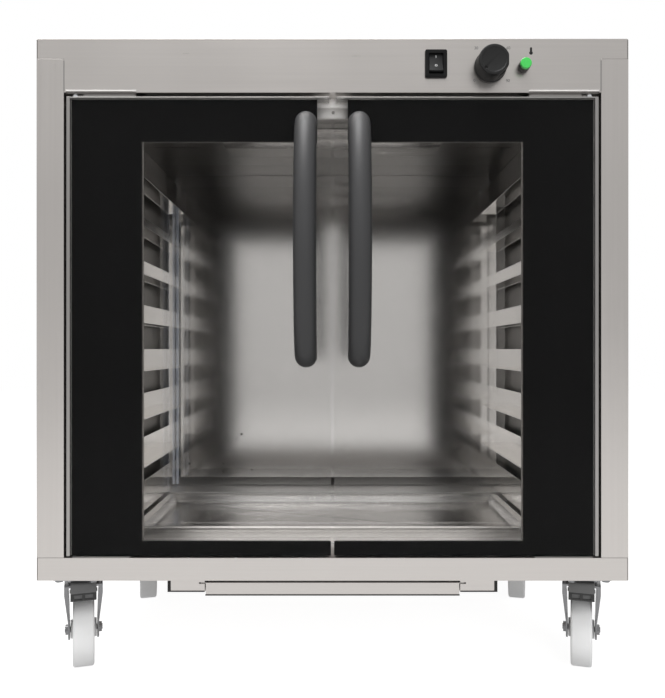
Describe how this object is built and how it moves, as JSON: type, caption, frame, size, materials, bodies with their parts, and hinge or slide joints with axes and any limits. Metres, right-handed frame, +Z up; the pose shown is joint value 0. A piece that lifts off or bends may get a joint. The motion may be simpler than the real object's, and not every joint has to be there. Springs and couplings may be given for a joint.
{
  "type": "proofing cabinet",
  "caption": "Two-door proofing cabinet on casters, with glass doors, tray slides, a water basin, a fan heater, and a rocker switch, knob and pilot lamp on its fascia.",
  "frame": {"origin": "on the floor, under the middle of the overall box", "axes": "+Z up, the doors face -Y, +X to the right as seen from the front"},
  "size_m": [0.784, 0.7186, 0.868],
  "materials": {
    "casing": "satin",
    "liner": "polished",
    "zinc": "satin",
    "door_frame": "satin",
    "glass": "clear",
    "black_print": "gloss",
    "black_plastic": "matte",
    "handle": "satin",
    "seal": "matte",
    "wheel": "matte",
    "lamp": "gloss",
    "heater": "oxidised",
    "motor": "cast"
  },
  "bodies": {
    "root": {"top_cover": "casing", "left_side_panel": "casing", "right_side_panel": "casing", "rear_panel": "casing", "base_panel": "casing", "control_fascia": "casing", "bottom_rail": "casing", "front_frame": "liner", "left_liner": "liner", "right_liner": "liner", "liner_top": "liner", "liner_floor": "liner", "liner_back": "liner", "back_baffle": "liner", "left_tray_rack": "liner", "right_tray_rack": "liner", "heating_element": "heater", "fan_motor": "motor", "probe_tube": "liner", "thermostat_body": "zinc", "switch_housing": "black_plastic", "pilot_lamp": "lamp", "cable_gland": "black_plastic", "left_bottom_hinge": "zinc", "right_bottom_hinge": "zinc", "left_drip_rail": "casing", "right_drip_rail": "casing", "left_caster_rail": "casing", "right_caster_rail": "casing", "front_left_caster_plate": "zinc", "front_right_caster_plate": "zinc", "rear_left_caster_plate": "zinc", "rear_right_caster_plate": "zinc"},
    "left_door": {"left_door_glass": "glass", "left_door_print": "black_print", "left_door_frame": "door_frame", "left_door_seal": "seal", "left_door_handle": "handle", "left_top_hinge": "zinc"},
    "right_door": {"right_door_glass": "glass", "right_door_print": "black_print", "right_door_frame": "door_frame", "right_door_seal": "seal", "right_door_handle": "handle", "right_top_hinge": "zinc"},
    "knob": {"thermostat_knob": "black_plastic"},
    "rocker": {"switch_rocker": "black_plastic"},
    "basin": {"water_basin": "liner"},
    "fan": {"fan_impeller": "zinc"},
    "drip_drawer": {"drip_tray": "casing"},
    "front_left_fork": {"front_left_caster_fork": "zinc"},
    "front_left_wheel": {"front_left_caster_wheel": "wheel"},
    "front_left_pedal": {"front_left_brake_pedal": "black_plastic"},
    "front_right_fork": {"front_right_caster_fork": "zinc"},
    "front_right_wheel": {"front_right_caster_wheel": "wheel"},
    "front_right_pedal": {"front_right_brake_pedal": "black_plastic"},
    "rear_left_fork": {"rear_left_caster_fork": "zinc"},
    "rear_left_wheel": {"rear_left_caster_wheel": "wheel"},
    "rear_right_fork": {"rear_right_caster_fork": "zinc"},
    "rear_right_wheel": {"rear_right_caster_wheel": "wheel"}
  },
  "joints": [
    {"name": "left_door_hinge", "type": "hinge", "parent": "root", "child": "left_door", "pos_m": [-0.3425, -0.28475, 0.1826], "axis": [0, 0, -1], "range_deg": [0, 110]},
    {"name": "right_door_hinge", "type": "hinge", "parent": "root", "child": "right_door", "pos_m": [0.3425, -0.28475, 0.1826], "axis": [0, 0, 1], "range_deg": [0, 110]},
    {"name": "knob_turn", "type": "hinge", "parent": "root", "child": "knob", "pos_m": [0.2086, -0.29275, 0.8303], "axis": [0, 1, 0], "range_deg": [0, 270]},
    {"name": "rocker_tilt", "type": "hinge", "parent": "root", "child": "rocker", "pos_m": [0.137, -0.28875, 0.8343], "axis": [1, 0, 0], "range_deg": [0, 24]},
    {"name": "basin_lift", "type": "slide", "parent": "root", "child": "basin", "axis": [0, 0, 1], "range_m": [0, 0.05]},
    {"name": "fan_spin", "type": "hinge", "parent": "root", "child": "fan", "pos_m": [0, 0.25425, 0.473], "axis": [0, 1, 0], "continuous": true},
    {"name": "drip_slide", "type": "slide", "parent": "root", "child": "drip_drawer", "axis": [0, -1, 0], "range_m": [0, 0.25]},
    {"name": "front_left_swivel", "type": "hinge", "parent": "root", "child": "front_left_fork", "pos_m": [-0.35, -0.23075, 0.13087], "axis": [0, 0, 1], "continuous": true},
    {"name": "front_left_wheel_spin", "type": "hinge", "parent": "front_left_fork", "child": "front_left_wheel", "pos_m": [-0.36112, -0.19651, 0.05217], "axis": [0.9511, 0.309, 0], "continuous": true},
    {"name": "front_left_brake", "type": "hinge", "parent": "front_left_fork", "child": "front_left_pedal", "pos_m": [-0.34506, -0.24597, 0.12237], "axis": [0.9511, 0.309, 0], "range_deg": [0, 18]},
    {"name": "front_right_swivel", "type": "hinge", "parent": "root", "child": "front_right_fork", "pos_m": [0.35, -0.23075, 0.13087], "axis": [0, 0, 1], "continuous": true},
    {"name": "front_right_wheel_spin", "type": "hinge", "parent": "front_right_fork", "child": "front_right_wheel", "pos_m": [0.36112, -0.19651, 0.05217], "axis": [0.9511, -0.309, 0], "continuous": true},
    {"name": "front_right_brake", "type": "hinge", "parent": "front_right_fork", "child": "front_right_pedal", "pos_m": [0.34506, -0.24597, 0.12237], "axis": [0.9511, -0.309, 0], "range_deg": [0, 18]},
    {"name": "rear_left_swivel", "type": "hinge", "parent": "root", "child": "rear_left_fork", "pos_m": [-0.35, 0.13725, 0.13087], "axis": [0, 0, 1], "continuous": true},
    {"name": "rear_left_wheel_spin", "type": "hinge", "parent": "rear_left_fork", "child": "rear_left_wheel", "pos_m": [-0.34068, 0.10248, 0.05217], "axis": [0.9659, 0.2588, 0], "continuous": true},
    {"name": "rear_right_swivel", "type": "hinge", "parent": "root", "child": "rear_right_fork", "pos_m": [0.35, 0.13725, 0.13087], "axis": [0, 0, 1], "continuous": true},
    {"name": "rear_right_wheel_spin", "type": "hinge", "parent": "rear_right_fork", "child": "rear_right_wheel", "pos_m": [0.34068, 0.10248, 0.05217], "axis": [0.9659, -0.2588, 0], "continuous": true}
  ]
}
